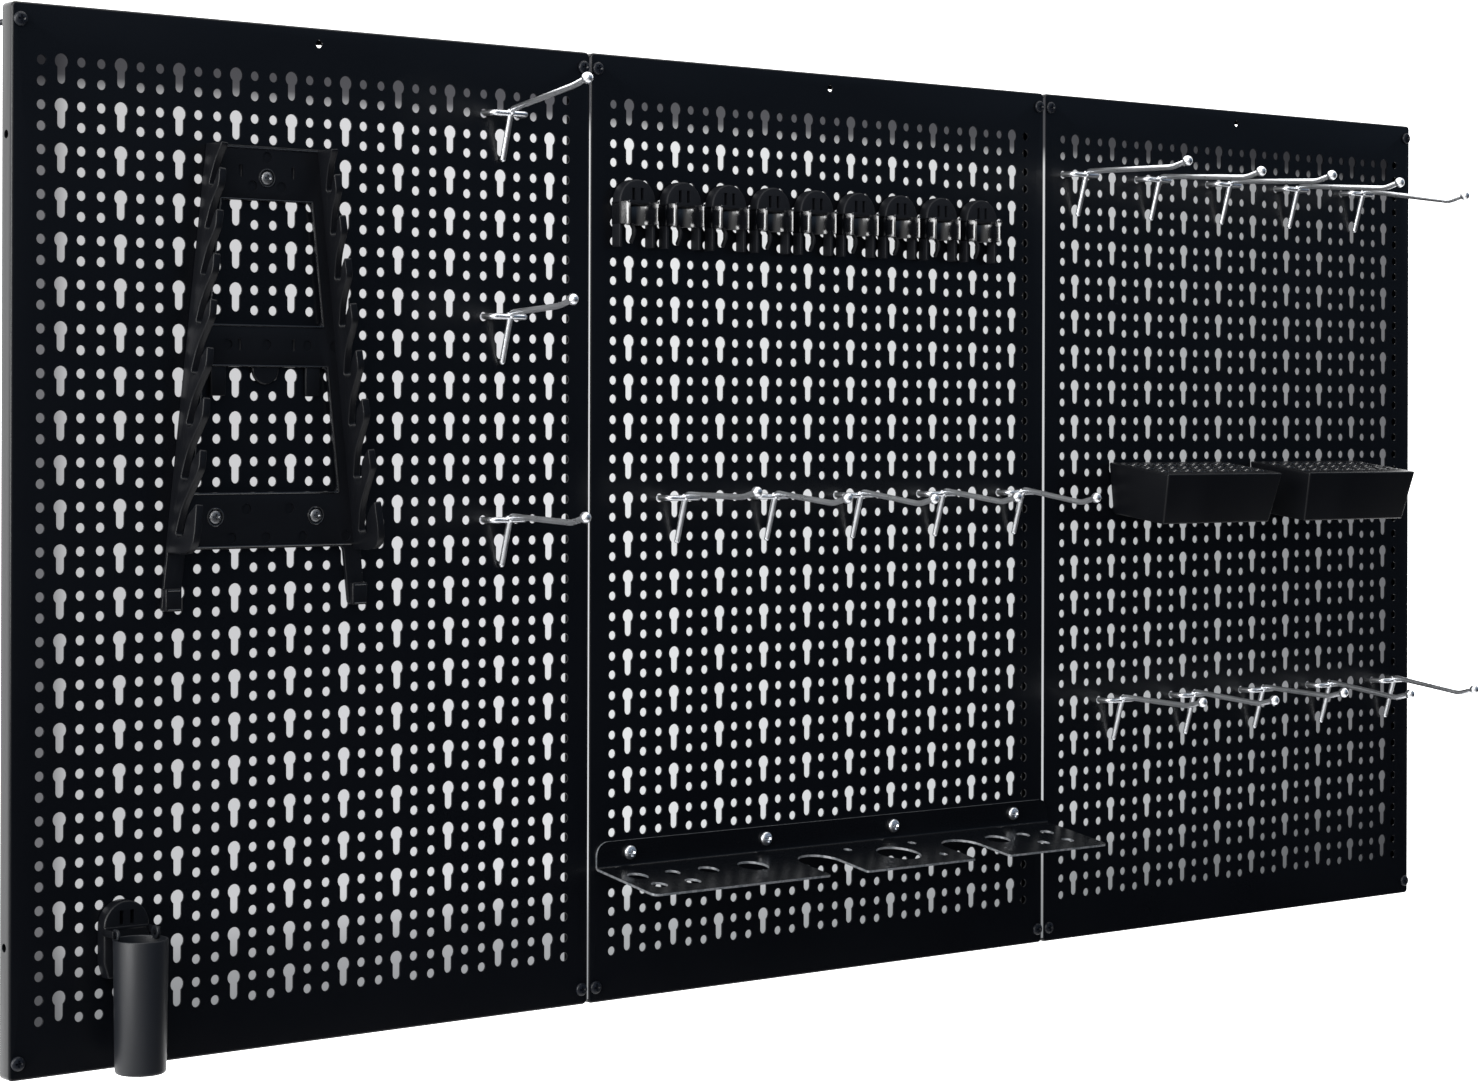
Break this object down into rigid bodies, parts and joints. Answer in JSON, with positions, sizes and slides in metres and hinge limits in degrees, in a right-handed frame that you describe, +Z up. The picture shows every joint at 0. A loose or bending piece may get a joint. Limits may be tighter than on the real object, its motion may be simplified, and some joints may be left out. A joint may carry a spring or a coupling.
{
  "type": "pegboard tool wall",
  "caption": "Wall-mounted steel pegboard with wire hooks, spring clips, a hanging pen cup, perforated bit holders, a slotted wrench rack and a folded bit shelf.",
  "frame": {"origin": "on the back plane, in the middle of the centre panel's top return lip", "axes": "+X to the right seen from the front, +Y into the wall, +Z up"},
  "size_m": [1.2182, 0.1491, 0.6096],
  "materials": {
    "black_powder_coat": "near-black semi-gloss powder coat",
    "black_plastic": "black moulded plastic, satin",
    "cup_plastic": "dark grey moulded plastic, matt",
    "bright_zinc": "bright zinc plate",
    "black_screw": "black screw coating",
    "shelf_steel": "black semi-gloss paint with bright sheared edges"
  },
  "bodies": {
    "board": {"bit_shelf": "shelf_steel", "panel_centre": "black_powder_coat", "panel_left": "black_powder_coat", "panel_right": "black_powder_coat", "rack_screw_low_left": "bright_zinc", "rack_screw_low_right": "bright_zinc", "rack_screw_top": "bright_zinc", "shelf_nut_1": "bright_zinc", "shelf_nut_2": "bright_zinc", "shelf_nut_3": "bright_zinc", "shelf_nut_4": "bright_zinc", "shelf_screw_1": "bright_zinc", "shelf_screw_2": "bright_zinc", "shelf_screw_3": "bright_zinc", "shelf_screw_4": "bright_zinc", "wall_screw_centre_low_left": "black_screw", "wall_screw_centre_low_right": "black_screw", "wall_screw_centre_top_left": "black_screw", "wall_screw_centre_top_right": "black_screw", "wall_screw_left_low_left": "black_screw", "wall_screw_left_low_right": "black_screw", "wall_screw_left_top_left": "black_screw", "wall_screw_left_top_right": "black_screw", "wall_screw_right_low_left": "black_screw", "wall_screw_right_low_right": "black_screw", "wall_screw_right_top_left": "black_screw", "wall_screw_right_top_right": "black_screw", "wrench_rack": "black_plastic"},
    "hook_left_a": {"hook_left_a": "bright_zinc"},
    "hook_left_b": {"hook_left_b": "bright_zinc"},
    "hook_left_c": {"hook_left_c": "bright_zinc"},
    "hook_centre_1": {"hook_centre_1": "bright_zinc"},
    "hook_centre_2": {"hook_centre_2": "bright_zinc"},
    "hook_centre_3": {"hook_centre_3": "bright_zinc"},
    "hook_centre_4": {"hook_centre_4": "bright_zinc"},
    "hook_centre_5": {"hook_centre_5": "bright_zinc"},
    "hook_right_top_1": {"hook_right_top_1": "bright_zinc"},
    "hook_right_top_2": {"hook_right_top_2": "bright_zinc"},
    "hook_right_top_3": {"hook_right_top_3": "bright_zinc"},
    "hook_right_top_4": {"hook_right_top_4": "bright_zinc"},
    "hook_right_top_5": {"hook_right_top_5": "bright_zinc"},
    "hook_right_low_1": {"hook_right_low_1": "bright_zinc"},
    "hook_right_low_2": {"hook_right_low_2": "bright_zinc"},
    "hook_right_low_3": {"hook_right_low_3": "bright_zinc"},
    "hook_right_low_4": {"hook_right_low_4": "bright_zinc"},
    "hook_right_low_5": {"hook_right_low_5": "bright_zinc"},
    "spring_clip_1": {"spring_clip_1": "black_plastic"},
    "spring_clip_2": {"spring_clip_2": "black_plastic"},
    "spring_clip_3": {"spring_clip_3": "black_plastic"},
    "spring_clip_4": {"spring_clip_4": "black_plastic"},
    "spring_clip_5": {"spring_clip_5": "black_plastic"},
    "spring_clip_6": {"spring_clip_6": "black_plastic"},
    "spring_clip_7": {"spring_clip_7": "black_plastic"},
    "spring_clip_8": {"spring_clip_8": "black_plastic"},
    "spring_clip_9": {"spring_clip_9": "black_plastic"},
    "bit_holder_left": {"bit_holder_left": "black_plastic"},
    "bit_holder_right": {"bit_holder_right": "black_plastic"},
    "cup_hanger": {"cup_hanger": "black_plastic"},
    "cup": {"cup": "cup_plastic"}
  },
  "joints": [
    {"name": "hook_left_a_tilt", "type": "hinge", "parent": "board", "child": "hook_left_a", "pos_m": [-0.27305, -0.0121, -0.0396], "axis": [-1, 0, 0], "range_deg": [0, 35]},
    {"name": "hook_left_b_tilt", "type": "hinge", "parent": "board", "child": "hook_left_b", "pos_m": [-0.27305, -0.0121, -0.1666], "axis": [-1, 0, 0], "range_deg": [0, 35]},
    {"name": "hook_left_c_tilt", "type": "hinge", "parent": "board", "child": "hook_left_c", "pos_m": [-0.27305, -0.0121, -0.2936], "axis": [-1, 0, 0], "range_deg": [0, 35]},
    {"name": "hook_centre_1_tilt", "type": "hinge", "parent": "board", "child": "hook_centre_1", "pos_m": [-0.13335, -0.0121, -0.2816], "axis": [-1, 0, 0], "range_deg": [0, 35]},
    {"name": "hook_centre_2_tilt", "type": "hinge", "parent": "board", "child": "hook_centre_2", "pos_m": [-0.05715, -0.0121, -0.2816], "axis": [-1, 0, 0], "range_deg": [0, 35]},
    {"name": "hook_centre_3_tilt", "type": "hinge", "parent": "board", "child": "hook_centre_3", "pos_m": [0.01905, -0.0121, -0.2816], "axis": [-1, 0, 0], "range_deg": [0, 35]},
    {"name": "hook_centre_4_tilt", "type": "hinge", "parent": "board", "child": "hook_centre_4", "pos_m": [0.09525, -0.0121, -0.2816], "axis": [-1, 0, 0], "range_deg": [0, 35]},
    {"name": "hook_centre_5_tilt", "type": "hinge", "parent": "board", "child": "hook_centre_5", "pos_m": [0.17145, -0.0121, -0.2816], "axis": [-1, 0, 0], "range_deg": [0, 35]},
    {"name": "hook_right_top_1_tilt", "type": "hinge", "parent": "board", "child": "hook_right_top_1", "pos_m": [0.23495, -0.0121, -0.053], "axis": [-1, 0, 0], "range_deg": [0, 35]},
    {"name": "hook_right_top_2_tilt", "type": "hinge", "parent": "board", "child": "hook_right_top_2", "pos_m": [0.31115, -0.0121, -0.053], "axis": [-1, 0, 0], "range_deg": [0, 35]},
    {"name": "hook_right_top_3_tilt", "type": "hinge", "parent": "board", "child": "hook_right_top_3", "pos_m": [0.38735, -0.0121, -0.053], "axis": [-1, 0, 0], "range_deg": [0, 35]},
    {"name": "hook_right_top_4_tilt", "type": "hinge", "parent": "board", "child": "hook_right_top_4", "pos_m": [0.46355, -0.0121, -0.053], "axis": [-1, 0, 0], "range_deg": [0, 35]},
    {"name": "hook_right_top_5_tilt", "type": "hinge", "parent": "board", "child": "hook_right_top_5", "pos_m": [0.53975, -0.0121, -0.053], "axis": [-1, 0, 0], "range_deg": [0, 35]},
    {"name": "hook_right_low_1_tilt", "type": "hinge", "parent": "board", "child": "hook_right_low_1", "pos_m": [0.27305, -0.0121, -0.434], "axis": [-1, 0, 0], "range_deg": [0, 35]},
    {"name": "hook_right_low_2_tilt", "type": "hinge", "parent": "board", "child": "hook_right_low_2", "pos_m": [0.34925, -0.0121, -0.434], "axis": [-1, 0, 0], "range_deg": [0, 35]},
    {"name": "hook_right_low_3_tilt", "type": "hinge", "parent": "board", "child": "hook_right_low_3", "pos_m": [0.42545, -0.0121, -0.434], "axis": [-1, 0, 0], "range_deg": [0, 35]},
    {"name": "hook_right_low_4_tilt", "type": "hinge", "parent": "board", "child": "hook_right_low_4", "pos_m": [0.50165, -0.0121, -0.434], "axis": [-1, 0, 0], "range_deg": [0, 35]},
    {"name": "hook_right_low_5_tilt", "type": "hinge", "parent": "board", "child": "hook_right_low_5", "pos_m": [0.57785, -0.0121, -0.434], "axis": [-1, 0, 0], "range_deg": [0, 35]},
    {"name": "spring_clip_1_lift", "type": "slide", "parent": "board", "child": "spring_clip_1", "axis": [0, 0, 1], "range_m": [0, 0.01]},
    {"name": "spring_clip_2_lift", "type": "slide", "parent": "board", "child": "spring_clip_2", "axis": [0, 0, 1], "range_m": [0, 0.01]},
    {"name": "spring_clip_3_lift", "type": "slide", "parent": "board", "child": "spring_clip_3", "axis": [0, 0, 1], "range_m": [0, 0.01]},
    {"name": "spring_clip_4_lift", "type": "slide", "parent": "board", "child": "spring_clip_4", "axis": [0, 0, 1], "range_m": [0, 0.01]},
    {"name": "spring_clip_5_lift", "type": "slide", "parent": "board", "child": "spring_clip_5", "axis": [0, 0, 1], "range_m": [0, 0.01]},
    {"name": "spring_clip_6_lift", "type": "slide", "parent": "board", "child": "spring_clip_6", "axis": [0, 0, 1], "range_m": [0, 0.01]},
    {"name": "spring_clip_7_lift", "type": "slide", "parent": "board", "child": "spring_clip_7", "axis": [0, 0, 1], "range_m": [0, 0.01]},
    {"name": "spring_clip_8_lift", "type": "slide", "parent": "board", "child": "spring_clip_8", "axis": [0, 0, 1], "range_m": [0, 0.01]},
    {"name": "spring_clip_9_lift", "type": "slide", "parent": "board", "child": "spring_clip_9", "axis": [0, 0, 1], "range_m": [0, 0.01]},
    {"name": "bit_holder_left_lift", "type": "slide", "parent": "board", "child": "bit_holder_left", "axis": [0, 0, 1], "range_m": [0, 0.01]},
    {"name": "bit_holder_right_lift", "type": "slide", "parent": "board", "child": "bit_holder_right", "axis": [0, 0, 1], "range_m": [0, 0.01]},
    {"name": "cup_hanger_lift", "type": "slide", "parent": "board", "child": "cup_hanger", "axis": [0, 0, 1], "range_m": [0, 0.01]},
    {"name": "cup_swing", "type": "hinge", "parent": "cup_hanger", "child": "cup", "pos_m": [-0.53975, -0.0323, -0.5257], "axis": [-1, 0, 0], "range_deg": [0, 20]}
  ]
}
